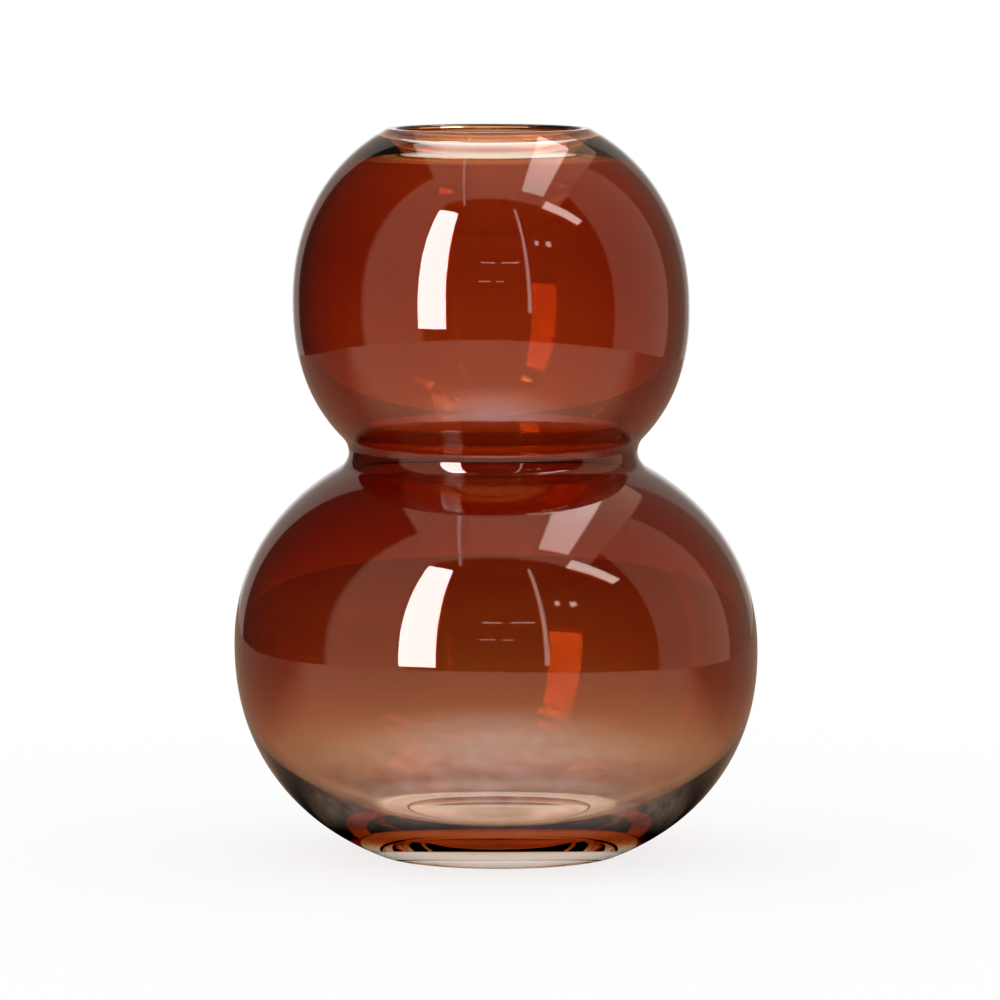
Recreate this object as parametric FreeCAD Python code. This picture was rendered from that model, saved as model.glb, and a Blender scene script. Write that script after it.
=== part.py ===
import FreeCAD, Part
import math
import os

# Gourd vase of cased glass: two blown bulbs, one above the other, drawn in to a tight waist.
# A colourless casing carries the thick heel, the ring that the vase stands on and the rim.
# An amber lining is fused inside it, from the rim down to the floor of the vessel.
# Lengths are in millimetres. +Z is up. The origin is the centre of the foot,
# on the surface that the vase stands on.

# Overall sizes
vase_height = 250.0
rim_radius = 34.6
foot_radius = 41.0

# Lower bulb, outside
lower_radius = 90.0
lower_belly_height = 71.8

# Upper bulb, outside
upper_radius = 68.1
upper_belly_height = 189.5

# Waist: where the outlines of the two bulbs would cross without their blend
waist_height = 137.76
waist_radius = 44.28

# Fullness of each quarter of the outline: 2 is an ellipse, and more is squarer at the shoulder
lower_sole_fullness_share = 2.18
lower_crown_fullness_share = 2.10
upper_root_fullness_share = 2.27
upper_crown_fullness_share = 2.15

# Fullness of the bottom of the vessel inside, fuller than the outside, so that the heel is thick
vessel_sole_fullness_share = 2.42

# Whole wall, casing and lining together
wall = 3.0
rim_wall = 3.8
rim_land = 2.4
floor_thickness = 4.5

# Amber lining, the inner part of that wall
lining_wall = 1.0
lining_rim_wall = 0.8
lining_floor = 0.5

# Blends, because hot glass keeps no sharp edge
waist_fillet = 6.8
rim_outer_round = 2.0
rim_inner_round = 1.4
rim_under_round = 0.8
foot_round = 3.0

# Underside: a shallow hollow, so that the vase stands on a ring
ring_width = 7.0
hollow_depth = 1.4
hollow_round = 1.1

# How far a cut runs past the face that it must clear
overrun = 10.0

# Points on each quarter of the outline, and how level a round edge has to be to count as one
quarter_steps = 10
level_tolerance = 0.05


up = FreeCAD.Vector(0, 0, 1)


def on_axis(height):
    """Return the point of the vase's axis at a height."""
    return up * height


def rise_through(radius, fullness, end_radius, end_rise):
    """Return the rise of a bulb's pole, so that its curve narrows to a radius at a given rise."""
    return end_rise / (1 - (end_radius / radius) ** fullness) ** (1 / fullness)


def quarter_curve(radius, rise, fullness, belly_height):
    """Return a quarter of a bulb's outline, from its belly to its pole on the axis.

    It follows (r / radius) ** fullness + (z / rise) ** fullness = 1, with z measured from the belly.
    A negative rise gives a quarter below the belly.
    """
    points = [FreeCAD.Vector(radius, 0, belly_height)]
    for step in range(1, quarter_steps):
        angle = math.pi / 2 * step / quarter_steps
        across = radius * math.cos(angle) ** (2 / fullness)
        along = rise * math.sin(angle) ** (2 / fullness)
        points.append(FreeCAD.Vector(across, 0, belly_height + along))
    points.append(on_axis(belly_height + rise))
    curve = Part.BSplineCurve()
    curve.interpolate(
        Points=points,
        InitialTangent=FreeCAD.Vector(0, 0, rise),
        FinalTangent=FreeCAD.Vector(-radius, 0, 0),
    )
    return curve.toShape()


def bulb(radius, belly_height, quarter_below, quarter_above):
    """Return a solid bulb, turned from the (rise, fullness) pairs below and above its belly."""
    drop, fullness_below = quarter_below
    rise, fullness_above = quarter_above
    below = quarter_curve(radius, -drop, fullness_below, belly_height)
    above = quarter_curve(radius, rise, fullness_above, belly_height)
    axis = Part.makeLine(on_axis(belly_height - drop), on_axis(belly_height + rise))
    outline = Part.Wire(Part.sortEdges([below, above, axis])[0])
    return Part.Face(outline).revolve(on_axis(0), up, 360)


def round_edges(shape, low, high, least_radius):
    """Return the level round edges between two heights that are wider than a radius."""
    found = []
    for edge in shape.Edges:
        box = edge.BoundBox
        level = box.ZLength < level_tolerance
        within = low - level_tolerance < box.Center.z < high + level_tolerance
        if level and within and box.XLength / 2 > least_radius:
            found.append(edge)
    return found


def rim_edges(shape, radius, depth):
    """Return the round edge of a radius at a depth under the rim."""
    level = vase_height - depth
    found = []
    for edge in round_edges(shape, level, level, 0):
        if abs(edge.BoundBox.XLength / 2 - radius) < rim_wall / 4:
            found.append(edge)
    return found


def double_bulb(inset, sole, upper_rise):
    """Return both bulbs as one solid whose surface lies an inset inside the outer surface.

    The waist's fillet grows with the inset, so that the wall is as thick there as beside it.

    Args: the inset, the (drop, fullness) pair of the lower bulb's sole, and the rise of the upper pole.
    """
    lower_crown_rise = rise_through(
        lower_radius, lower_crown_fullness_share, waist_radius, waist_height - lower_belly_height
    )
    upper_root_drop = rise_through(
        upper_radius, upper_root_fullness_share, waist_radius, upper_belly_height - waist_height
    )
    lower = bulb(
        lower_radius - inset,
        lower_belly_height,
        sole,
        (lower_crown_rise - inset, lower_crown_fullness_share),
    )
    upper = bulb(
        upper_radius - inset,
        upper_belly_height,
        (upper_root_drop - inset, upper_root_fullness_share),
        (upper_rise, upper_crown_fullness_share),
    )
    joined = lower.fuse(upper)
    crossing = round_edges(
        joined, lower_belly_height + waist_fillet, upper_belly_height - waist_fillet, 0
    )
    return joined.makeFillet(waist_fillet + inset, crossing)


def rim_rise(inset, end_radius, depth):
    """Return the rise of an upper pole whose curve narrows to a radius at a depth under the rim."""
    end_rise = vase_height - depth - upper_belly_height
    return rise_through(upper_radius - inset, upper_crown_fullness_share, end_radius, end_rise)


def outer_body():
    """Return the vase as if it were solid: bulbs, waist, flat rim, rounded foot and hollow."""
    sole_drop = rise_through(lower_radius, lower_sole_fullness_share, foot_radius, lower_belly_height)
    sole = (sole_drop, lower_sole_fullness_share)
    body = double_bulb(0, sole, rim_rise(0, rim_radius, 0))
    slab = Part.makeCylinder(lower_radius + overrun, vase_height, on_axis(0))
    body = body.common(slab)
    body = body.makeFillet(foot_round, round_edges(body, 0, 0, 0))
    hollow_radius = foot_radius - ring_width
    hollow = Part.makeCylinder(hollow_radius, hollow_depth + overrun, on_axis(-overrun))
    hollow = hollow.makeFillet(hollow_round, round_edges(hollow, hollow_depth, hollow_depth, 0))
    return body.cut(hollow)


def vessel(cavity):
    """Return the whole glass, open at the mouth, with its rim polished round."""
    bore_radius = rim_radius - rim_wall
    glass = outer_body().cut(cavity)
    bore = Part.makeCylinder(bore_radius, rim_land + overrun, on_axis(vase_height - rim_land))
    glass = glass.cut(bore)
    glass = glass.makeFillet(rim_inner_round, rim_edges(glass, bore_radius, 0))
    glass = glass.makeFillet(rim_outer_round, rim_edges(glass, rim_radius, 0))
    return glass.makeFillet(rim_under_round, rim_edges(glass, bore_radius, rim_land))


def save(shape, node):
    """Write one sub-part's solid to its own file."""
    solid = shape.Solids[0]
    solid.exportStep(os.path.join("parts", node + ".step"))
    print(node, "volume", round(solid.Volume), "valid", solid.isValid(), "solids", len(shape.Solids))


os.makedirs("parts", exist_ok=True)

casing_wall = wall - lining_wall
cavity = double_bulb(
    wall,
    (lower_belly_height - floor_thickness, vessel_sole_fullness_share),
    rim_rise(wall, rim_radius - rim_wall, rim_land),
)
colour_body = double_bulb(
    casing_wall,
    (lower_belly_height - floor_thickness + lining_floor, vessel_sole_fullness_share),
    rim_rise(casing_wall, rim_radius - rim_wall, rim_land - lining_rim_wall),
)
glass = vessel(cavity)
clear_casing = glass.cut(colour_body)
amber_lining = glass.common(colour_body)

save(clear_casing, "clear_casing")
save(amber_lining, "amber_lining")
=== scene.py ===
"""Gourd vase of cased glass: the dressed model, the light and the camera.

Lengths are in metres, in the frame's own axes. +Z is up and the origin is the centre of the foot.
A section is a line of (radius, height) points. A body is that line turned about the vase's axis.
"""
import logging
import math
from abc import ABC, abstractmethod
from dataclasses import dataclass, field
from enum import Enum

import bpy
import numpy as np
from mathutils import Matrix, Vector


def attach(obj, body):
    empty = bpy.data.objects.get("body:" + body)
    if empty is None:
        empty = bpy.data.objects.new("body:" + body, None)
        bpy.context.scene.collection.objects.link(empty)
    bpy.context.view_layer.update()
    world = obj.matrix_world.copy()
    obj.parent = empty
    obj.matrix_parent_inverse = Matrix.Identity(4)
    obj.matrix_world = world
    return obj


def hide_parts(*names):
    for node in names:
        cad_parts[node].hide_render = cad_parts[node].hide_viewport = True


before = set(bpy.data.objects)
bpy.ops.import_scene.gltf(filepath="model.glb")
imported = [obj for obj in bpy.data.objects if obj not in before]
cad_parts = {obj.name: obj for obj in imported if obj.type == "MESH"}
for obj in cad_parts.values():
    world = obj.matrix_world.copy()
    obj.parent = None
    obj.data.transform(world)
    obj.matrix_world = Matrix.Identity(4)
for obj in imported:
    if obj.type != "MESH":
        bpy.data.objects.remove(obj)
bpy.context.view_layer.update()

MM = 0.001
FULL_TURN = 2 * math.pi
QUARTER_TURN = math.pi / 2
WHITE = (1.0, 1.0, 1.0)

# How finely a section is drawn, and how closely its joints are solved
ROUND_STEPS = 9
HALVINGS = 50
SOLVER_ROUNDS = 12
TINY_TURN = 1e-5

# The waist's first guess as a share of the upper bulb's radius, and points of the hollow's roof
# as shares of the hollow's radius
WAIST_GUESS_SHARE = 0.72
UNDERSIDE_SHARES = (0.0, 0.25, 0.5, 0.75, 0.9)

# Upward parts of a direction, between which the ceiling comes into view
CEILING_ZONE = (0.05, 0.15)

# Rises in degrees: a patch that covers its wall from floor to ceiling, and two rows of dashes
WHOLE_WALL = (-90.0, 95.0)
UPPER_DASH = (21.7, 22.4)
LOWER_DASH = (11.8, 12.4)

LIGHT_BOUNCES = 32

log = logging.getLogger("gourd_vase")


class Slot(Enum):
    """The record's material slots."""

    CLEAR = "clear_glass"
    AMBER = "amber_glass"


class Axis(Enum):
    """The two directions of a section."""

    ACROSS = 0
    ALONG = 1


# Node trees


class Graph:
    """Adds nodes to one node tree."""

    def __init__(self, tree: bpy.types.NodeTree) -> None:
        """Keep the tree that the nodes go into.

        Args:
            tree: a shader tree or a geometry tree.
        """
        self.tree = tree

    def node(
        self, kind: str, settings: dict | None = None, sockets: dict | None = None
    ) -> bpy.types.Node:
        """Add one node.

        Args:
            kind: the node's type.
            settings: the node's own properties, set before its sockets.
            sockets: a value, a Number or an output for each input, by name or index.

        Returns:
            The new node.
        """
        made = self.tree.nodes.new(kind)
        for name, value in (settings or {}).items():
            setattr(made, name, value)
        for key, value in (sockets or {}).items():
            if isinstance(value, Number):
                value = value.socket
            if isinstance(value, bpy.types.NodeSocket):
                self.tree.links.new(value, made.inputs[key])
            else:
                made.inputs[key].default_value = value
        return made

    def number(
        self,
        kind: str,
        settings: dict | None = None,
        sockets: dict | None = None,
        output: str | int = 0,
    ) -> "Number":
        """Add one node and return one of its outputs as a Number.

        Args:
            kind: the node's type.
            settings: the node's own properties.
            sockets: its inputs.
            output: the name or index of the output.

        Returns:
            The output, ready for sums.
        """
        return Number(self, self.node(kind, settings, sockets).outputs[output])


class Number:
    """A socket that adds a Math node for each sum that it is part of."""

    def __init__(self, graph: Graph, socket: bpy.types.NodeSocket) -> None:
        """Wrap a socket.

        Args:
            graph: where the Math nodes go.
            socket: an output that carries a number.
        """
        self.graph = graph
        self.socket = socket

    def _sum(
        self, operation: str, first: "Number | float", second: "Number | float"
    ) -> "Number":
        """Return one Math node's result for two operands."""
        return self.graph.number("ShaderNodeMath", {"operation": operation}, {0: first, 1: second})

    def __add__(self, other: "Number | float") -> "Number":
        """Return self + other."""
        return self._sum("ADD", self, other)

    __radd__ = __add__

    def __sub__(self, other: "Number | float") -> "Number":
        """Return self - other."""
        return self._sum("SUBTRACT", self, other)

    def __rsub__(self, other: "Number | float") -> "Number":
        """Return other - self."""
        return self._sum("SUBTRACT", other, self)

    def __mul__(self, other: "Number | float") -> "Number":
        """Return self * other."""
        return self._sum("MULTIPLY", self, other)

    __rmul__ = __mul__

    def __truediv__(self, other: "Number | float") -> "Number":
        """Return self / other."""
        return self._sum("DIVIDE", self, other)

    def __mod__(self, other: "Number | float") -> "Number":
        """Return the remainder of self / other, never below zero."""
        return self._sum("FLOORED_MODULO", self, other)

    def __lt__(self, other: "Number | float") -> "Number":
        """Return 1 where self is less than other, else 0."""
        return self._sum("LESS_THAN", self, other)

    def floor(self) -> "Number":
        """Return the whole part."""
        return self._sum("FLOOR", self, 0.0)

    def largest(self, other: "Number | float") -> "Number":
        """Return the larger of two numbers."""
        return self._sum("MAXIMUM", self, other)

    def cos(self) -> "Number":
        """Return the cosine."""
        return self._sum("COSINE", self, 0.0)

    def sin(self) -> "Number":
        """Return the sine."""
        return self._sum("SINE", self, 0.0)

    def degrees(self) -> "Number":
        """Return an angle in degrees."""
        return self._sum("DEGREES", self, 0.0)

    def arcsin(self) -> "Number":
        """Return the angle whose sine this is."""
        return self._sum("ARCSINE", self, 0.0)

    def turn_from(self, ahead: "Number | float") -> "Number":
        """Return the angle of the direction that goes this far across and that far ahead."""
        return self._sum("ARCTAN2", self, ahead)

    def within(self, low: float, high: float, softness: float) -> "Number":
        """Return 1 between two values and 0 outside them, with soft edges.

        Args:
            low: the lower value.
            high: the upper value.
            softness: how wide each edge's ramp is.

        Returns:
            The band's value, from 0 to 1.
        """
        half = softness / 2
        return self.between(low - half, low + half) * (1 - self.between(high - half, high + half))

    def between(self, low: float, high: float) -> "Number":
        """Return a smooth ramp from 0 at low to 1 at high.

        Args:
            low: where the ramp starts.
            high: where it ends.

        Returns:
            The ramp's value, from 0 to 1.
        """
        return self.graph.number(
            "ShaderNodeMapRange",
            {"interpolation_type": "SMOOTHSTEP"},
            {"Value": self, "From Min": low, "From Max": high},
        )


# Sections


def smooth_step(value: float, low: float, high: float) -> float:
    """Return a smooth ramp from 0 at low to 1 at high."""
    share = min(max((value - low) / (high - low), 0.0), 1.0)
    return share * share * (3 - 2 * share)


def rise_through(radius: float, fullness: float, end_radius: float, end_rise: float) -> float:
    """Return the rise of a pole, so that its curve narrows to a radius at a given rise."""
    return end_rise / (1 - (end_radius / radius) ** fullness) ** (1 / fullness)


class Strand(ABC):
    """A curve of a section, from a bulb's belly at turn 0 to its pole at a quarter turn."""

    @abstractmethod
    def at(self, turn: float) -> np.ndarray:
        """Return the point at a turn."""

    @abstractmethod
    def outward(self, turn: float) -> np.ndarray:
        """Return the direction that points away from the bulb's inside."""

    def beside(self, turn: float, distance: float) -> np.ndarray:
        """Return the point at a distance outside the curve."""
        return self.at(turn) + self.outward(turn) * distance

    def turn_where(self, axis: Axis, value: float, distance: float = 0.0) -> float:
        """Find where the curve, or a line beside it, reaches a radius or a height.

        Args:
            axis: the coordinate that is looked at.
            value: what it has to be.
            distance: how far outside the curve the line runs.

        Returns:
            The turn.
        """
        low, high = 0.0, QUARTER_TURN
        rising = self.beside(high, distance)[axis.value] > self.beside(low, distance)[axis.value]
        for _ in range(HALVINGS):
            middle = (low + high) / 2
            if (self.beside(middle, distance)[axis.value] < value) == rising:
                low = middle
            else:
                high = middle
        return (low + high) / 2

    def points(self, start: float, end: float, count: int) -> list[np.ndarray]:
        """Return evenly turned points, both ends included."""
        return [self.at(turn) for turn in np.linspace(start, end, count)]


@dataclass(frozen=True)
class Quarter(Strand):
    """A quarter of a bulb's outline: (r / radius) ** fullness + (z / rise) ** fullness = 1.

    A negative rise gives a quarter below the belly.
    """

    radius: float
    rise: float
    fullness: float
    belly: float

    def at(self, turn: float) -> np.ndarray:
        """Return the point at a turn.

        Args:
            turn: how far round the quarter, from its belly.

        Returns:
            The point, as (radius, height).
        """
        power = 2 / self.fullness
        across = self.radius * max(math.cos(turn), 0.0) ** power
        return np.array([across, self.belly + self.rise * math.sin(turn) ** power])

    def outward(self, turn: float) -> np.ndarray:
        """Return the direction that points away from the bulb's inside.

        Args:
            turn: how far round the quarter, from its belly.

        Returns:
            The direction, one long.
        """
        power = 2 - 2 / self.fullness
        across = max(math.cos(turn), 0.0) ** power / self.radius
        slope = np.array([across, math.sin(turn) ** power / self.rise])
        return slope / np.linalg.norm(slope)


@dataclass(frozen=True)
class InnerShoulder(Strand):
    """The inside of the upper bulb's crown: thin on the shoulder and thicker towards the rim."""

    outside: Quarter
    wall: float
    shoulder_wall: float
    rim_wall: float
    rim_zone: tuple[float, float]
    belly_zone: tuple[float, float]

    def at(self, turn: float) -> np.ndarray:
        """Return the point at a turn.

        Args:
            turn: how far round the quarter, from its belly.

        Returns:
            The point, as (radius, height).
        """
        skin = self.outside.at(turn)
        to_shoulder = smooth_step(skin[0], *self.rim_zone)
        to_belly = smooth_step(skin[0], *self.belly_zone)
        depth = self.rim_wall + (self.shoulder_wall - self.rim_wall) * to_shoulder
        depth += (self.wall - self.shoulder_wall) * to_belly
        return skin - self.outside.outward(turn) * depth

    def outward(self, turn: float) -> np.ndarray:
        """Return the direction that points away from the bulb's inside.

        Args:
            turn: how far round the quarter, from its belly.

        Returns:
            The direction, one long.
        """
        low = max(turn - TINY_TURN, 0.0)
        along = self.at(min(turn + TINY_TURN, QUARTER_TURN)) - self.at(low)
        slope = np.array([along[1], -along[0]])
        return slope / np.linalg.norm(slope)


def arc(
    centre: np.ndarray, start: np.ndarray, end: np.ndarray, count: int = ROUND_STEPS
) -> list[np.ndarray]:
    """Return points on the shorter arc about a centre.

    Args:
        centre: the arc's centre.
        start: its first point.
        end: its last point.
        count: how many points, both ends included.

    Returns:
        The points.
    """
    radius = np.linalg.norm(start - centre)
    first = math.atan2(*(start - centre)[::-1])
    last = math.atan2(*(end - centre)[::-1])
    swing = (last - first + math.pi) % FULL_TURN - math.pi
    angles = first + np.linspace(0, 1, count) * swing
    return [centre + radius * np.array([math.cos(a), math.sin(a)]) for a in angles]


def waist_turns(lower: Quarter, upper: Quarter, fillet: float) -> tuple[float, float]:
    """Find where a fillet outside two bulbs touches each of them.

    Args:
        lower: the lower bulb's crown.
        upper: the upper bulb's root.
        fillet: the fillet's radius.

    Returns:
        The turns on the lower and the upper curve.
    """
    guess = upper.radius * WAIST_GUESS_SHARE
    turns = np.array([curve.turn_where(Axis.ACROSS, guess) for curve in (lower, upper)])

    def gap(pair: np.ndarray) -> np.ndarray:
        """Return how far apart the two centres are."""
        return lower.beside(pair[0], fillet) - upper.beside(pair[1], fillet)

    for _ in range(SOLVER_ROUNDS):
        here = gap(turns)
        steps = np.eye(2) * TINY_TURN
        slopes = np.column_stack([(gap(turns + step) - here) / TINY_TURN for step in steps])
        turns = turns - np.linalg.solve(slopes, here)
    return turns[0], turns[1]


@dataclass(frozen=True)
class GlassSizes:
    """Sizes of the glass.

    The outline is the CAD model's up to the rim. The rim's rounds and the wall are finer.
    """

    height: float = 250.0 * MM
    rim_radius: float = 34.6 * MM
    foot_radius: float = 41.0 * MM
    lower_radius: float = 90.0 * MM
    lower_belly: float = 71.8 * MM
    lower_crown_rise: float = 74.5 * MM
    upper_radius: float = 68.1 * MM
    upper_belly: float = 189.5 * MM
    upper_root_drop: float = 63.7 * MM
    sole_fullness: float = 2.18
    lower_crown_fullness: float = 2.10
    root_fullness: float = 2.27
    upper_crown_fullness: float = 2.15
    vessel_sole_fullness: float = 2.42
    wall: float = 3.0 * MM
    shoulder_wall: float = 2.05 * MM
    rim_wall: float = 3.5 * MM
    rim_zone: tuple[float, float] = (37.1 * MM, 49.0 * MM)
    belly_zone: tuple[float, float] = (52.0 * MM, 58.0 * MM)
    mouth_radius: float = 31.3 * MM
    floor_thickness: float = 4.5 * MM
    waist_fillet: float = 6.8 * MM
    rim_outer_round: float = 1.6 * MM
    rim_inner_round: float = 1.5 * MM
    rim_under_round: float = 2.3 * MM
    foot_round: float = 3.0 * MM
    ring_width: float = 7.0 * MM
    hollow_depth: float = 1.4 * MM
    hollow_round: float = 1.1 * MM


@dataclass(frozen=True)
class LiningSizes:
    """How thick the amber lining is.

    Each station is a height on the vessel's inner surface, and the lining's depth there.
    """

    stations: tuple[tuple[float, float], ...] = (
        (4.5 * MM, 0.04 * MM),
        (10.5 * MM, 0.04 * MM),
        (14.0 * MM, 0.50 * MM),
        (18.0 * MM, 0.38 * MM),
        (25.0 * MM, 0.20 * MM),
        (75.0 * MM, 0.90 * MM),
        (88.0 * MM, 0.92 * MM),
        (105.0 * MM, 1.15 * MM),
        (125.0 * MM, 1.25 * MM),
        (138.0 * MM, 1.34 * MM),
        (152.0 * MM, 0.80 * MM),
        (175.0 * MM, 0.98 * MM),
        (208.0 * MM, 1.10 * MM),
        (239.3 * MM, 0.95 * MM),
        (241.3 * MM, 0.07 * MM),
        (245.2 * MM, 0.07 * MM),
        (246.6 * MM, 0.48 * MM),
    )
    top: float = 249.6 * MM
    clearance: float = 0.02 * MM

    def depth(self, height: float) -> float:
        """Return the lining's thickness at a height.

        Args:
            height: a height on the vessel's inner surface.

        Returns:
            The thickness.
        """
        depth = self.stations[0][1]
        for (low, before), (high, after) in zip(self.stations, self.stations[1:]):
            depth += (after - before) * smooth_step(height, low, high)
        return depth


@dataclass(frozen=True)
class Section:
    """Works out the section of the glass from its sizes."""

    sizes: GlassSizes = field(default_factory=GlassSizes)
    steps: int = 52

    def double_bulb(
        self, inset: float, sole: Quarter, crown: Strand, crown_end: float
    ) -> list[np.ndarray]:
        """Return the two bulbs' line, from the lower belly up to the crown's end.

        Args:
            inset: how far the line lies inside the outer surface.
            sole: the lower bulb's lower quarter, which isn't added here.
            crown: the upper bulb's upper quarter.
            crown_end: the turn at which the crown ends.

        Returns:
            The points, upwards.
        """
        s = self.sizes
        lower_rise = s.lower_crown_rise - inset
        upper_rise = inset - s.upper_root_drop
        lower = Quarter(s.lower_radius - inset, lower_rise, s.lower_crown_fullness, sole.belly)
        upper = Quarter(s.upper_radius - inset, upper_rise, s.root_fullness, s.upper_belly)
        fillet = s.waist_fillet + inset
        lower_end, upper_end = waist_turns(lower, upper, fillet)
        centre = lower.beside(lower_end, fillet)
        waist = arc(centre, lower.at(lower_end), upper.at(upper_end), 2 * ROUND_STEPS)
        line = lower.points(0, lower_end, self.steps)
        line += waist[1:-1]
        line += upper.points(upper_end, 0, self.steps)
        line += crown.points(0, crown_end, self.steps)[1:]
        return line

    def outside(self) -> list[np.ndarray]:
        """Return the outer line of the glass.

        Returns:
            The points, from the middle of the underside to the top of the rim.
        """
        s = self.sizes
        sole_drop = rise_through(s.lower_radius, s.sole_fullness, s.foot_radius, s.lower_belly)
        sole = Quarter(s.lower_radius, -sole_drop, s.sole_fullness, s.lower_belly)
        crown = self.outer_crown()
        foot_turn = sole.turn_where(Axis.ALONG, s.foot_round, -s.foot_round)
        foot_centre = sole.beside(foot_turn, -s.foot_round)
        rim_round = s.rim_outer_round
        rim_turn = crown.turn_where(Axis.ALONG, s.height - rim_round, -rim_round)
        rim_centre = crown.beside(rim_turn, -rim_round)
        line = self.underside()
        line += arc(foot_centre, foot_centre - [0, s.foot_round], sole.at(foot_turn))
        line += sole.points(foot_turn, 0, self.steps)[1:-1]
        line += self.double_bulb(0, sole, crown, rim_turn)
        line += arc(rim_centre, crown.at(rim_turn), rim_centre + [0, rim_round])[1:]
        return line

    def outer_crown(self) -> Quarter:
        """Return the outside of the upper bulb's crown.

        Returns:
            The curve, which narrows to the rim at the vase's height.
        """
        s = self.sizes
        end_rise = s.height - s.upper_belly
        rise = rise_through(s.upper_radius, s.upper_crown_fullness, s.rim_radius, end_rise)
        return Quarter(s.upper_radius, rise, s.upper_crown_fullness, s.upper_belly)

    def underside(self) -> list[np.ndarray]:
        """Return the shallow hollow under the foot.

        Returns:
            The points, from the axis to the inner edge of the ring.
        """
        s = self.sizes
        edge = s.foot_radius - s.ring_width
        corner = np.array([edge - s.hollow_round, s.hollow_depth - s.hollow_round])
        line = [np.array([edge * share, s.hollow_depth]) for share in UNDERSIDE_SHARES]
        line += arc(corner, corner + [0, s.hollow_round], corner + [s.hollow_round, 0])
        line.append(np.array([edge, 0.0]))
        return line

    def inside(self) -> list[np.ndarray]:
        """Return the line of the vessel's inner surface.

        Returns:
            The points, from the middle of its floor to the top of the rim.
        """
        s = self.sizes
        drop = s.lower_belly - s.floor_thickness
        sole = Quarter(s.lower_radius - s.wall, -drop, s.vessel_sole_fullness, s.lower_belly)
        crown = InnerShoulder(
            self.outer_crown(), s.wall, s.shoulder_wall, s.rim_wall, s.rim_zone, s.belly_zone
        )
        under, top = s.rim_under_round, s.rim_inner_round
        lip_turn = crown.turn_where(Axis.ACROSS, s.mouth_radius + under, under)
        lip_centre = crown.beside(lip_turn, under)
        top_centre = np.array([s.mouth_radius, s.height]) + [top, -top]
        line = sole.points(QUARTER_TURN, 0, self.steps)[:-1]
        line += self.double_bulb(s.wall, sole, crown, lip_turn)
        line += arc(lip_centre, crown.at(lip_turn), lip_centre - [under, 0])[1:]
        line += arc(top_centre, top_centre - [top, 0], top_centre + [0, top])
        return line

    def glass(self) -> list[np.ndarray]:
        """Return the whole glass: up the outside, over the rim and down the inside."""
        return self.outside() + self.inside()[::-1]

    def lining(self, layer: LiningSizes) -> list[np.ndarray]:
        """Return the lining as a thin layer under the vessel's inner surface.

        Args:
            layer: how thick it is at each height.

        Returns:
            The points, up the side that lies deeper in the glass and down the other one.
        """
        wall = np.array([point for point in self.inside() if point[1] < layer.top])
        along = np.gradient(wall, axis=0)
        into_glass = np.column_stack([along[:, 1], -along[:, 0]])
        into_glass[0] = (0.0, -1.0)
        into_glass /= np.linalg.norm(into_glass, axis=1)[:, None]
        depths = np.array([layer.depth(point[1]) for point in wall])
        far_side = wall + into_glass * (layer.clearance + depths[:, None])
        near_side = wall + into_glass * layer.clearance
        return list(far_side) + list(near_side[::-1])


# Bodies turned by Geometry Nodes


@dataclass(frozen=True)
class Seeds:
    """The few tiny air bubbles that hand-worked glass keeps in its wall."""

    per_square_metre: float = 150.0
    least_radius: float = 0.14 * MM
    most_radius: float = 0.40 * MM
    depth: float = 0.75 * MM
    random_seed: int = 7
    roundness: int = 2


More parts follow.
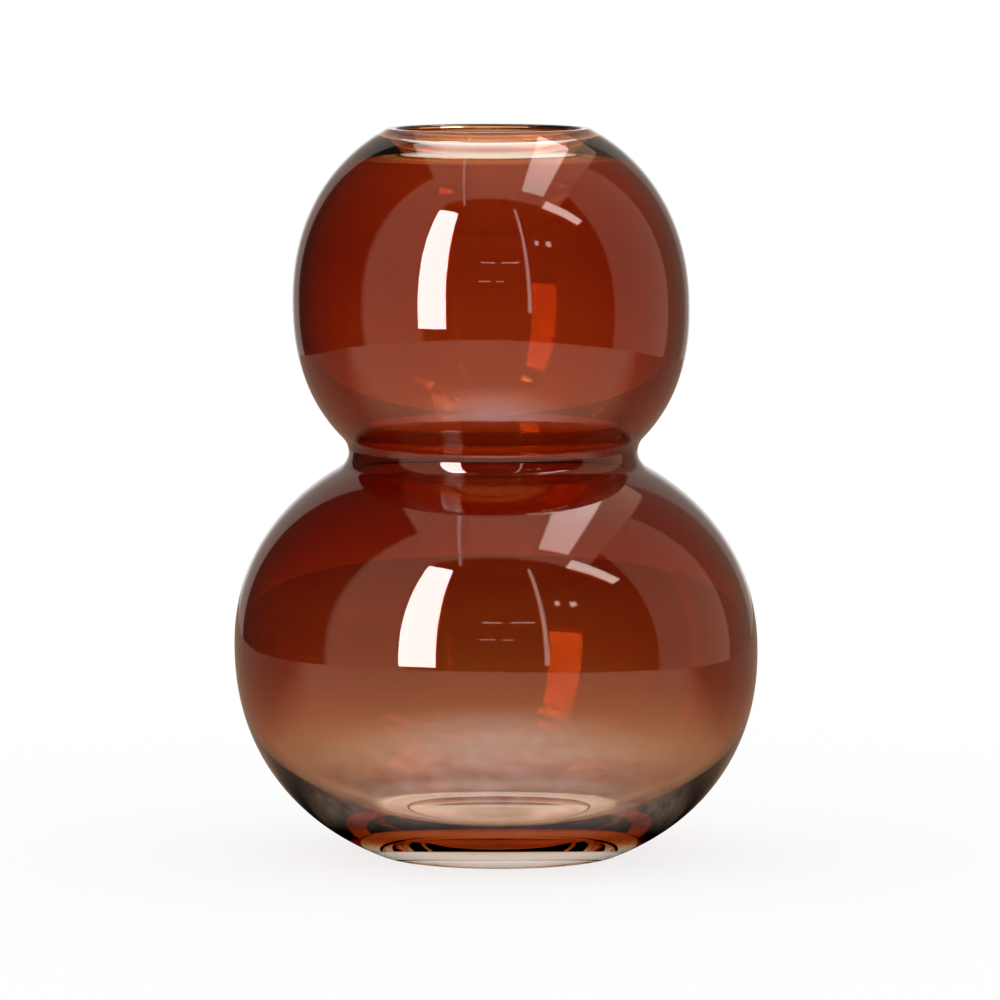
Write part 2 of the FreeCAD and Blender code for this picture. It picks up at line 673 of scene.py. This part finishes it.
@dataclass(frozen=True)
class Lathe:
    """Turns a section into a body about the vase's axis, with a Geometry Nodes tree.

    The blown bulbs lean by a hair: each level shifts sideways by lean times its height over the
    level where the lean starts.
    """

    segments: int = 180
    lean: float = -0.0143
    lean_from: float = 71.8 * MM
    weld: float = 0.002 * MM

    def tree(self, name: str, seeds: Seeds | None = None) -> bpy.types.NodeTree:
        """Build the tree.

        Args:
            name: the tree's name.
            seeds: bubbles to scatter in the outer wall, if any.

        Returns:
            The geometry tree, with its sizes as named inputs.
        """
        tree = bpy.data.node_groups.new(name, "GeometryNodeTree")
        for label, kind in (
            ("Section", "NodeSocketGeometry"),
            ("Segments", "NodeSocketInt"),
            ("Lean", "NodeSocketFloat"),
            ("Lean from", "NodeSocketFloat"),
            ("Outer rows", "NodeSocketInt"),
            ("Finish", "NodeSocketMaterial"),
        ):
            tree.interface.new_socket(label, in_out="INPUT", socket_type=kind)
        tree.interface.new_socket("Body", in_out="OUTPUT", socket_type="NodeSocketGeometry")
        graph = Graph(tree)
        given = graph.node("NodeGroupInput").outputs
        rows = graph.number(
            "GeometryNodeAttributeDomainSize",
            {"component": "MESH"},
            {0: given["Section"]},
            "Point Count",
        )
        columns = Number(graph, given["Segments"]) + 1
        grid = graph.node("GeometryNodeMeshGrid", None, {"Vertices X": rows, "Vertices Y": columns})
        index = graph.number("GeometryNodeInputIndex")
        row = (index / columns).floor()
        turn = (index % columns) * -FULL_TURN / Number(graph, given["Segments"])
        spot = graph.node("GeometryNodeInputPosition").outputs[0]
        sampled = graph.node(
            "GeometryNodeSampleIndex",
            {"data_type": "FLOAT_VECTOR", "domain": "POINT"},
            {"Geometry": given["Section"], "Value": spot, "Index": row},
        )
        parts = graph.node("ShaderNodeSeparateXYZ", None, {0: sampled.outputs["Value"]}).outputs
        radius = Number(graph, parts["X"])
        height = Number(graph, parts["Z"])
        shift = (height - Number(graph, given["Lean from"])) * Number(graph, given["Lean"])
        place = graph.node(
            "ShaderNodeCombineXYZ",
            None,
            {"X": radius * turn.cos() + shift, "Y": radius * turn.sin(), "Z": height},
        )
        turned = graph.node(
            "GeometryNodeSetPosition",
            None,
            {"Geometry": grid.outputs["Mesh"], "Position": place.outputs[0]},
        )
        welded = graph.node(
            "GeometryNodeMergeByDistance",
            None,
            {"Geometry": turned.outputs[0], "Distance": self.weld},
        )
        body = welded.outputs[0]
        if seeds:
            outer = row < given["Outer rows"]
            body = self.with_seeds(graph, body, turned.outputs[0], outer, seeds)
        smooth = graph.node("GeometryNodeSetShadeSmooth", None, {"Geometry": body})
        real = graph.node("GeometryNodeRealizeInstances", None, {"Geometry": smooth.outputs[0]})
        dressed = graph.node(
            "GeometryNodeSetMaterial",
            None,
            {"Geometry": real.outputs[0], "Material": given["Finish"]},
        )
        graph.node("NodeGroupOutput", None, {"Body": dressed.outputs[0]})
        return tree

    def with_seeds(
        self,
        graph: Graph,
        body: bpy.types.NodeSocket,
        skin: bpy.types.NodeSocket,
        outer: Number,
        seeds: Seeds,
    ) -> bpy.types.NodeSocket:
        """Scatter bubbles under the outer surface.

        Args:
            graph: the tree's graph.
            body: the welded body.
            skin: the turned grid, on which each row keeps its index.
            outer: 1 on the rows of the outer surface.
            seeds: the bubbles' sizes.

        Returns:
            The body with its bubbles.
        """
        spots = graph.node(
            "GeometryNodeDistributePointsOnFaces",
            {"distribute_method": "RANDOM"},
            {
                "Mesh": skin,
                "Selection": outer,
                "Density": seeds.per_square_metre,
                "Seed": seeds.random_seed,
            },
        )
        inwards = graph.node(
            "ShaderNodeVectorMath",
            {"operation": "SCALE"},
            {0: spots.outputs["Normal"], "Scale": -seeds.depth},
        )
        sunk = graph.node(
            "GeometryNodeSetPosition",
            None,
            {"Geometry": spots.outputs["Points"], "Offset": inwards.outputs[0]},
        )
        ball = graph.node(
            "GeometryNodeMeshIcoSphere", None, {"Radius": 1.0, "Subdivisions": seeds.roundness}
        )
        hollow = graph.node("GeometryNodeFlipFaces", None, {0: ball.outputs["Mesh"]})
        size = graph.number(
            "FunctionNodeRandomValue",
            {"data_type": "FLOAT"},
            {2: seeds.least_radius, 3: seeds.most_radius, "Seed": seeds.random_seed},
            1,
        )
        bubbles = graph.node(
            "GeometryNodeInstanceOnPoints",
            None,
            {"Points": sunk.outputs[0], "Instance": hollow.outputs[0], "Scale": size},
        )
        both = graph.node("GeometryNodeJoinGeometry")
        graph.tree.links.new(body, both.inputs[0])
        graph.tree.links.new(bubbles.outputs[0], both.inputs[0])
        return both.outputs[0]

    def body(
        self,
        name: str,
        section: list[np.ndarray],
        finish: bpy.types.Material,
        outer_rows: int = 0,
        seeds: Seeds | None = None,
    ) -> bpy.types.Object:
        """Turn a section into a plain mesh object.

        Args:
            name: the piece's name.
            section: its line, upwards on the outer side.
            finish: the material.
            outer_rows: how many points belong to the outer surface.
            seeds: bubbles to scatter under that surface.

        Returns:
            The piece, at the origin, with no modifier left.
        """
        line = bpy.data.meshes.new(name + "_section")
        corners = [(point[0], 0.0, point[1]) for point in section]
        line.from_pydata(corners, [(i, i + 1) for i in range(len(corners) - 1)], [])
        blank = bpy.data.objects.new(name + "_blank", line)
        bpy.context.scene.collection.objects.link(blank)
        tree = self.tree(name + "_lathe", seeds)
        turner = blank.modifiers.new("lathe", "NODES")
        turner.node_group = tree
        values = {
            "Segments": self.segments,
            "Lean": self.lean,
            "Lean from": self.lean_from,
            "Outer rows": outer_rows,
            "Finish": finish,
        }
        for item in tree.interface.items_tree:
            if item.name in values:
                turner[item.identifier] = values[item.name]
        graph = bpy.context.evaluated_depsgraph_get()
        mesh = bpy.data.meshes.new_from_object(blank.evaluated_get(graph), depsgraph=graph)
        mesh.name = name
        bpy.data.objects.remove(blank)
        piece = bpy.data.objects.new(name, mesh)
        bpy.context.scene.collection.objects.link(piece)
        return piece


# Finishes


def new_material(name: str) -> tuple[bpy.types.Material, Graph, bpy.types.Node, bpy.types.Node]:
    """Start a material.

    Args:
        name: the material's name.

    Returns:
        The material, its graph, its Principled shader and its output.
    """
    material = bpy.data.materials.new(name)
    material.use_nodes = True
    nodes = material.node_tree.nodes
    return material, Graph(material.node_tree), nodes["Principled BSDF"], nodes["Material Output"]


@dataclass(frozen=True)
class ClearGlass:
    """Colourless blown glass, faintly rippled, with a foot that is worn where it stands."""

    refraction: float = 1.5
    ripple_scale: float = 16.0
    ripple_detail: float = 1.0
    ripple_roughness: float = 0.4
    ripple_height: float = 0.02 * MM
    worn_height: float = 0.25 * MM
    worn_roughness: float = 0.32

    def material(self) -> bpy.types.Material:
        """Build the finish.

        Returns:
            The material.
        """
        material, graph, shader, _ = new_material(Slot.CLEAR.value)
        shader.inputs["Base Color"].default_value = (*WHITE, 1.0)
        shader.inputs["IOR"].default_value = self.refraction
        shader.inputs["Transmission Weight"].default_value = 1.0
        place = graph.node("ShaderNodeTexCoord").outputs["Object"]
        height = graph.number("ShaderNodeSeparateXYZ", None, {0: place}, "Z")
        worn = 1 - height.between(0.0, self.worn_height)
        ripple = graph.number(
            "ShaderNodeTexNoise",
            None,
            {
                "Vector": place,
                "Scale": self.ripple_scale,
                "Detail": self.ripple_detail,
                "Roughness": self.ripple_roughness,
            },
        )
        bump = graph.node(
            "ShaderNodeBump", None, {"Height": ripple, "Distance": self.ripple_height}
        )
        links = graph.tree.links
        links.new((worn * self.worn_roughness).socket, shader.inputs["Roughness"])
        links.new(bump.outputs[0], shader.inputs["Normal"])
        return material


@dataclass(frozen=True)
class AmberGlass:
    """Amber glass fused to the casing: it bends no light there and takes up blue and green.

    The uptake is what one metre of the glass takes from red, green and blue. The deepest share
    keeps its colour a little above black where it takes most.
    """

    uptake: tuple[float, float, float] = (720.0, 1960.0, 3200.0)
    deepest_share: float = 0.99
    refraction: float = 1.0

    def material(self) -> bpy.types.Material:
        """Build the finish.

        Returns:
            The material.
        """
        material, graph, shader, output = new_material(Slot.AMBER.value)
        shader.inputs["Base Color"].default_value = (*WHITE, 1.0)
        shader.inputs["Roughness"].default_value = 0.0
        shader.inputs["IOR"].default_value = self.refraction
        shader.inputs["Transmission Weight"].default_value = 1.0
        density = max(self.uptake) / self.deepest_share
        colour = [1 - share / density for share in self.uptake]
        volume = graph.node(
            "ShaderNodeVolumeAbsorption", None, {"Density": density, "Color": (*colour, 1.0)}
        )
        graph.tree.links.new(volume.outputs[0], output.inputs["Volume"])
        return material


@dataclass(frozen=True)
class PaleTable:
    """A white table, whose colour also holds painted light and painted shade.

    Seen straight by the camera it is paler and keeps a soft shadow. Mirrored in the glass it
    shows a painted glow: warm ahead of the vase, white and mottled just in front of it, dim behind
    it, with painted shade under the overhang of the lower bulb. Seen through the glass it is lit
    plainly, but under the foot it shows a painted pool of light, most under the ring and less
    under the hollow. The front zone is a pair of places along Y, and each other zone is a pair of
    distances from the vase's axis.
    """

    white: float = 0.60
    roughness: float = 0.9
    shadow_share: float = 0.35
    # Levels, places and colour of the painted glow that the glass mirrors of the table
    back_painted_glow: float = 0.25
    front_painted_glow: float = 0.8
    front_zone: tuple[float, float] = (-0.10, 0.06)
    near_painted_glow: float = 2.8
    near_centre: tuple[float, float, float] = (0.0, -0.125, 0.0)
    near_radius: float = 0.17
    warmth: tuple[float, float, float] = (1.45, 0.94, 0.64)
    # The painted pool of light under the foot, seen through the glass, and its painted shade under
    # the hollow
    foot_zone: tuple[float, float] = (0.041, 0.047)
    foot_glow_share: float = 0.95
    hollow_zone: tuple[float, float] = (0.010, 0.021)
    hollow_glow_share: float = 0.42
    # Painted shade in the mirrored glow, round the foot under the lower bulb's overhang
    overhang_shade_zone: tuple[float, float] = (0.058, 0.082)
    shade_zone: tuple[float, float] = (0.072, 0.16)
    # A painted mottle in the mirrored glow just in front of the vase
    mottle_scale: float = 70.0
    mottle_detail: float = 4.0
    mottle_roughness: float = 0.65
    mottle_middle: float = 0.5
    mottle_share: float = 1.1

    def material(self) -> bpy.types.Material:
        """Build the finish.

        Returns:
            The material.
        """
        material, graph, shader, output = new_material("pale_table")
        shader.inputs["Base Color"].default_value = (self.white, self.white, self.white, 1.0)
        shader.inputs["Roughness"].default_value = self.roughness
        shader.inputs["Specular IOR Level"].default_value = 0.0
        rays = graph.node("ShaderNodeLightPath").outputs
        seen, gloss, through = (
            Number(graph, rays[name])
            for name in ("Is Camera Ray", "Is Glossy Ray", "Is Transmission Ray")
        )
        # Painted reflection: the glass mirrors a painted glow of the table, set by place below
        mirrored = gloss * (1 - through)
        place = graph.node("ShaderNodeTexCoord").outputs["Object"]
        from_near, from_axis = (
            graph.number(
                "ShaderNodeVectorMath", {"operation": "DISTANCE"}, {0: place, 1: spot}, "Value"
            )
            for spot in (self.near_centre, (0.0, 0.0, 0.0))
        )
        near = 1 - from_near.between(0.0, self.near_radius)
        mottle = graph.number(
            "ShaderNodeTexNoise",
            None,
            {
                "Vector": place,
                "Scale": self.mottle_scale,
                "Detail": self.mottle_detail,
                "Roughness": self.mottle_roughness,
            },
        )
        # Painted mottle in the painted glow near the vase
        mottling = 1 + (mottle - self.mottle_middle) * (self.mottle_share / self.mottle_middle)
        near_level = near * self.near_painted_glow * mottling.largest(0.0)
        back = graph.number("ShaderNodeSeparateXYZ", None, {0: place}, "Y")
        far_level = (1 - back.between(*self.front_zone)) * self.front_painted_glow + self.back_painted_glow
        # Painted shade: the mirrored glow goes dark round the foot and under the lower bulb's
        # overhang
        mirror_level = near_level * from_axis.between(*self.overhang_shade_zone)
        mirror_level += far_level * from_axis.between(*self.shade_zone)
        full_white = (1 - self.white * self.shadow_share) / (1 - self.shadow_share)
        # The painted glow is warm away from the vase and white near it
        colour = graph.node(
            "ShaderNodeMix",
            {"data_type": "RGBA"},
            {"Factor": mirrored * (1 - near), "A": (*WHITE, 1.0), "B": (*self.warmth, 1.0)},
        )
        # One emission gives the camera a plain pale floor, the glass its painted glow and the foot
        # its painted pool of light
        glow = graph.node(
            "ShaderNodeEmission",
            None,
            {
                "Color": colour.outputs["Result"],
                "Strength": seen * full_white + mirrored * mirror_level + through,
            },
        )
        # Painted pool of light under the foot for rays through the glass, with painted shade under
        # the hollow
        under_foot = 1 - from_axis.between(*self.foot_zone)
        ring_share = from_axis.between(*self.hollow_zone) * (self.foot_glow_share - self.hollow_glow_share)
        lit_share = (ring_share + self.hollow_glow_share) * under_foot
        share = seen * (1 - self.shadow_share) + mirrored + through * lit_share
        mixed = graph.node(
            "ShaderNodeMixShader", None, {0: share, 1: shader.outputs[0], 2: glow.outputs[0]}
        )
        graph.tree.links.new(mixed.outputs[0], output.inputs["Surface"])
        return material


# The vase


@dataclass
class Vase:
    """The blown vessel: a clear casing, and the amber lining fused inside it."""

    section: Section = field(default_factory=Section)
    layer: LiningSizes = field(default_factory=LiningSizes)
    lathe: Lathe = field(default_factory=Lathe)
    seeds: Seeds = field(default_factory=Seeds)
    clear: ClearGlass = field(default_factory=ClearGlass)
    amber: AmberGlass = field(default_factory=AmberGlass)

    def casing(self) -> bpy.types.Object:
        """Build the glass from its outer skin to the surface of the vessel inside.

        Returns:
            The piece.
        """
        line = self.section.glass()
        rows = len(self.section.outside())
        return self.lathe.body("casing", line, self.clear.material(), rows, self.seeds)

    def lining(self) -> bpy.types.Object:
        """Build the amber layer under the vessel's inner surface."""
        line = self.section.lining(self.layer)
        return self.lathe.body("lining", line, self.amber.material())

    def build(self) -> None:
        """Build both pieces, and put each in the place of its CAD node."""
        for piece, node, slot in (
            (self.casing(), "clear_casing", Slot.CLEAR),
            (self.lining(), "amber_lining", Slot.AMBER),
        ):
            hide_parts(node)
            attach(piece, "root")
            log.info("%s: %d faces", piece.name, len(piece.data.polygons))


# The studio


@dataclass(frozen=True)
class WindowLamp:
    """A tall bright window that shows in the glass and stays out of the camera's sight.

    Its bearing is counted in degrees from the camera, to the right in the picture.
    """

    name: str
    bearing: float
    distance: float
    width: float
    bottom: float
    top: float
    brightness: float
    colour: tuple[float, float, float] = (1.0, 0.93, 0.90)
    through_glass: bool = True

    def place(self) -> None:
        """Put the lamp in the scene."""
        data = bpy.data.lights.new(self.name, "AREA")
        data.shape = "RECTANGLE"
        data.size, data.size_y = self.width, self.top - self.bottom
        data.energy = self.brightness * math.pi * data.size * data.size_y
        data.color = self.colour
        lamp = bpy.data.objects.new(self.name, data)
        bpy.context.scene.collection.objects.link(lamp)
        turn = math.radians(self.bearing)
        away = Vector((math.sin(turn), -math.cos(turn), 0.0))
        lamp.location = away * self.distance + Vector((0, 0, (self.top + self.bottom) / 2))
        lamp.rotation_mode = "QUATERNION"
        lamp.rotation_quaternion = (-away).to_track_quat("-Z", "Y")
        lamp.visible_camera = False
        lamp.visible_diffuse = False
        lamp.visible_transmission = self.through_glass


@dataclass(frozen=True)
class WallPatch:
    """A patch of the studio's walls that shows in the glass, by bearing and rise in degrees."""

    name: str
    bearings: tuple[float, float]
    rises: tuple[float, float]
    level: float
    softness: float = 1.0
    pale: bool = False

    def glow(self, sky: "Sky") -> Number:
        """Return how bright the patch is in each direction."""
        across = sky.bearing.within(*self.bearings, self.softness)
        return across * sky.rise.within(*self.rises, self.softness) * self.level


@dataclass(frozen=True)
class CeilingPatch:
    """A patch of the studio's ceiling that shows in the glass.

    Its places are shares of the ceiling's height. A slant shears it and a bow bends it backwards
    at its sides.
    """

    name: str
    sideways: tuple[float, float]
    backwards: tuple[float, float]
    level: float
    softness: float = 0.03
    pale: bool = False
    slant: float = 0.0
    bow: float = 0.0

    def glow(self, sky: "Sky") -> Number:
        """Return how bright the patch is in each direction.

        Args:
            sky: the directions.

        Returns:
            The level.
        """
        across = (sky.sideways - sky.backwards * self.slant).within(*self.sideways, self.softness)
        bowed = sky.backwards - sky.sideways * sky.sideways * self.bow
        return across * bowed.within(*self.backwards, self.softness) * sky.overhead * self.level


class Sky:
    """Directions about the vase, as numbers in a world's node tree."""

    def __init__(self, graph: Graph) -> None:
        """Work out each measure of the direction.

        Args:
            graph: the world's graph.
        """
        heading = graph.node("ShaderNodeTexCoord").outputs["Generated"]
        parts = graph.node("ShaderNodeSeparateXYZ", None, {0: heading}).outputs
        across, self.back, up = (Number(graph, parts[name]) for name in "XYZ")
        self.bearing = across.turn_from(self.back * -1).degrees()
        self.rise = up.arcsin().degrees()
        self.overhead = up.between(*CEILING_ZONE)
        level = up.largest(CEILING_ZONE[0])
        self.sideways = across / level
        self.backwards = self.back / level


@dataclass(frozen=True)
class Studio:
    """The table, the surround and the windows."""

    table_side: float = 0.75
    table_front: float = 0.92
    table_back: float = 1.28
    table_back_side: float = 0.45
    table_edge_steps: int = 64
    white_from: float = 0.94
    all_white_from: float = 0.995
    warmth: tuple[float, float, float] = (1.0, 0.62, 0.42)
    paleness: tuple[float, float, float] = (1.0, 0.82, 0.72)
    dim_level: float = 0.07
    windows: tuple[WindowLamp, ...] = (
        WindowLamp("window", -33.7, 1.63, 0.47, -0.03, 1.7, 24.0),
        WindowLamp("window_top", -33.7, 1.63, 0.47, 1.7, 2.16, 24.0, through_glass=False),
    )
    patches: tuple[WallPatch | CeilingPatch, ...] = (
        WallPatch("left_wall", (-80.0, -40.0), WHOLE_WALL, 1.3, 5.0),
        WallPatch("right_wall", (76.0, 125.0), WHOLE_WALL, 1.0, 2.0),
        WallPatch("far_right_wall", (120.0, 170.0), WHOLE_WALL, 0.35, 6.0),
        WallPatch("left_card", (-179.0, -149.0), WHOLE_WALL, 0.5, 2.0, pale=True),
        WallPatch("right_card", (153.0, 179.0), WHOLE_WALL, 0.5, 2.0, pale=True),
        CeilingPatch("ceiling", (-0.45, 0.75), (-0.53, 1.2), 1.4, 0.04),
        CeilingPatch("ceiling_panel", (-0.14, 0.27), (-0.50, 1.2), 1.65, 0.02),
        CeilingPatch("ceiling_glow", (-0.48, 0.50), (0.07, 0.42), 3.0, pale=True, bow=1.4),
        CeilingPatch(
            "ceiling_seam", (-0.19, -0.165), (-0.62, 0.5), 2.8, 0.008, pale=True, slant=0.14
        ),
        CeilingPatch("softbox", (0.29, 0.52), (-0.36, 0.70), 7.0, pale=True),
        CeilingPatch("tube", (0.57, 1.20), (-0.55, -0.41), 10.0, 0.02, pale=True),
        WallPatch("door_edge", (21.3, 23.3), (-2.0, 54.0), 4.5, pale=True),
        WallPatch("left_spot", (29.8, 32.2), (31.0, 33.5), 8.0, pale=True),
        WallPatch("right_spot", (37.2, 40.5), (29.5, 32.2), 8.0, pale=True),
        WallPatch("upper_dash", (-6.0, 3.0), UPPER_DASH, 5.0, 0.5, pale=True),
        WallPatch("upper_dash_right", (7.0, 18.0), UPPER_DASH, 5.0, 0.5, pale=True),
        WallPatch("lower_dash", (-7.0, 0.0), LOWER_DASH, 4.0, 0.5, pale=True),
        WallPatch("lower_dash_right", (3.0, 8.0), LOWER_DASH, 4.0, 0.5, pale=True),
    )
    table: PaleTable = field(default_factory=PaleTable)

    def build(self) -> None:
        """Build the studio round the vase."""
        self.build_table()
        self.build_surround()
        for window in self.windows:
            window.place()
        for part in self.windows + self.patches:
            log.info("light %s", part.name)
        cycles = bpy.context.scene.cycles
        cycles.max_bounces = cycles.transmission_bounces = LIGHT_BOUNCES
        cycles.glossy_bounces = LIGHT_BOUNCES // 2
        bpy.context.scene.view_settings.view_transform = "Standard"

    def build_table(self) -> None:
        """Lay the table: its front is half an ellipse about the vase, and it narrows behind."""
        angles = np.linspace(math.pi, 2 * math.pi, self.table_edge_steps)
        across, back = self.table_side, self.table_back
        edge = [(across * math.cos(a), self.table_front * math.sin(a), 0.0) for a in angles]
        edge += [(side * self.table_back_side, back, 0.0) for side in (1, -1)]
        mesh = bpy.data.meshes.new("table")
        mesh.from_pydata(edge, [], [range(len(edge))])
        mesh.materials.append(self.table.material())
        table = bpy.data.objects.new("table", mesh)
        bpy.context.scene.collection.objects.link(table)

    def brightest(self, sky: Sky, pale: bool) -> Number:
        """Return how bright the brightest pale or warm patch is in each direction.

        Args:
            sky: the directions.
            pale: whether the pale patches are asked for.

        Returns:
            The level.
        """
        level, *others = (patch.glow(sky) for patch in self.patches if patch.pale is pale)
        for other in others:
            level = level.largest(other)
        return level

    def build_surround(self) -> None:
        """Make the surround: plain white, but a warm dim room with bright patches in the glass."""
        world = bpy.data.worlds.new("surround")
        world.use_nodes = True
        bpy.context.scene.world = world
        graph = Graph(world.node_tree)
        sky = Sky(graph)
        warm = self.brightest(sky, False).largest(self.dim_level)
        pale = self.brightest(sky, True)
        backdrop = sky.back.between(self.white_from, self.all_white_from)
        gloss = graph.number("ShaderNodeLightPath", None, None, "Is Glossy Ray")
        in_room = gloss * (1 - backdrop)
        strength = warm.largest(pale) * in_room + (1 - in_room)
        room_colour = graph.node(
            "ShaderNodeMix",
            {"data_type": "RGBA"},
            {"Factor": pale < warm, "A": (*self.paleness, 1.0), "B": (*self.warmth, 1.0)},
        )
        colour = graph.node(
            "ShaderNodeMix",
            {"data_type": "RGBA"},
            {"Factor": in_room, "A": (*WHITE, 1.0), "B": room_colour.outputs["Result"]},
        )
        background = world.node_tree.nodes["Background"]
        graph.tree.links.new(colour.outputs["Result"], background.inputs["Color"])
        graph.tree.links.new(strength.socket, background.inputs["Strength"])


@dataclass(frozen=True)
class PhotoCamera:
    """The photograph's camera: a long lens from a little above the vase, looking slightly down."""

    distance: float = 2.614
    height: float = 0.365
    aim_height: float = 0.125
    frame_pixels: float = 1000.0
    focal_pixels: float = 7638.0
    axis_pixel_x: float = 496.0
    aim_pixel_y: float = 491.8
    sensor: float = 36.0

    def place(self) -> None:
        """Put the camera in the scene."""
        data = bpy.data.cameras.new("camera")
        camera = bpy.data.objects.new("camera", data)
        bpy.context.scene.collection.objects.link(camera)
        camera.location = (0.0, -self.distance, self.height)
        dip = math.atan2(self.height - self.aim_height, self.distance)
        camera.rotation_euler = (QUARTER_TURN - dip, 0.0, 0.0)
        data.sensor_width = self.sensor
        data.lens = self.sensor * self.focal_pixels / self.frame_pixels
        middle = self.frame_pixels / 2
        data.shift_x = (middle - self.axis_pixel_x) / self.frame_pixels
        data.shift_y = -(middle - self.aim_pixel_y) / self.frame_pixels
        bpy.context.scene.camera = camera


def main() -> None:
    """Build the studio, the vase and the camera."""
    logging.basicConfig(level=logging.INFO, format="%(name)s: %(message)s")
    PhotoCamera().place()
    Studio().build()
    Vase().build()


if __name__ == "__main__":
    main()
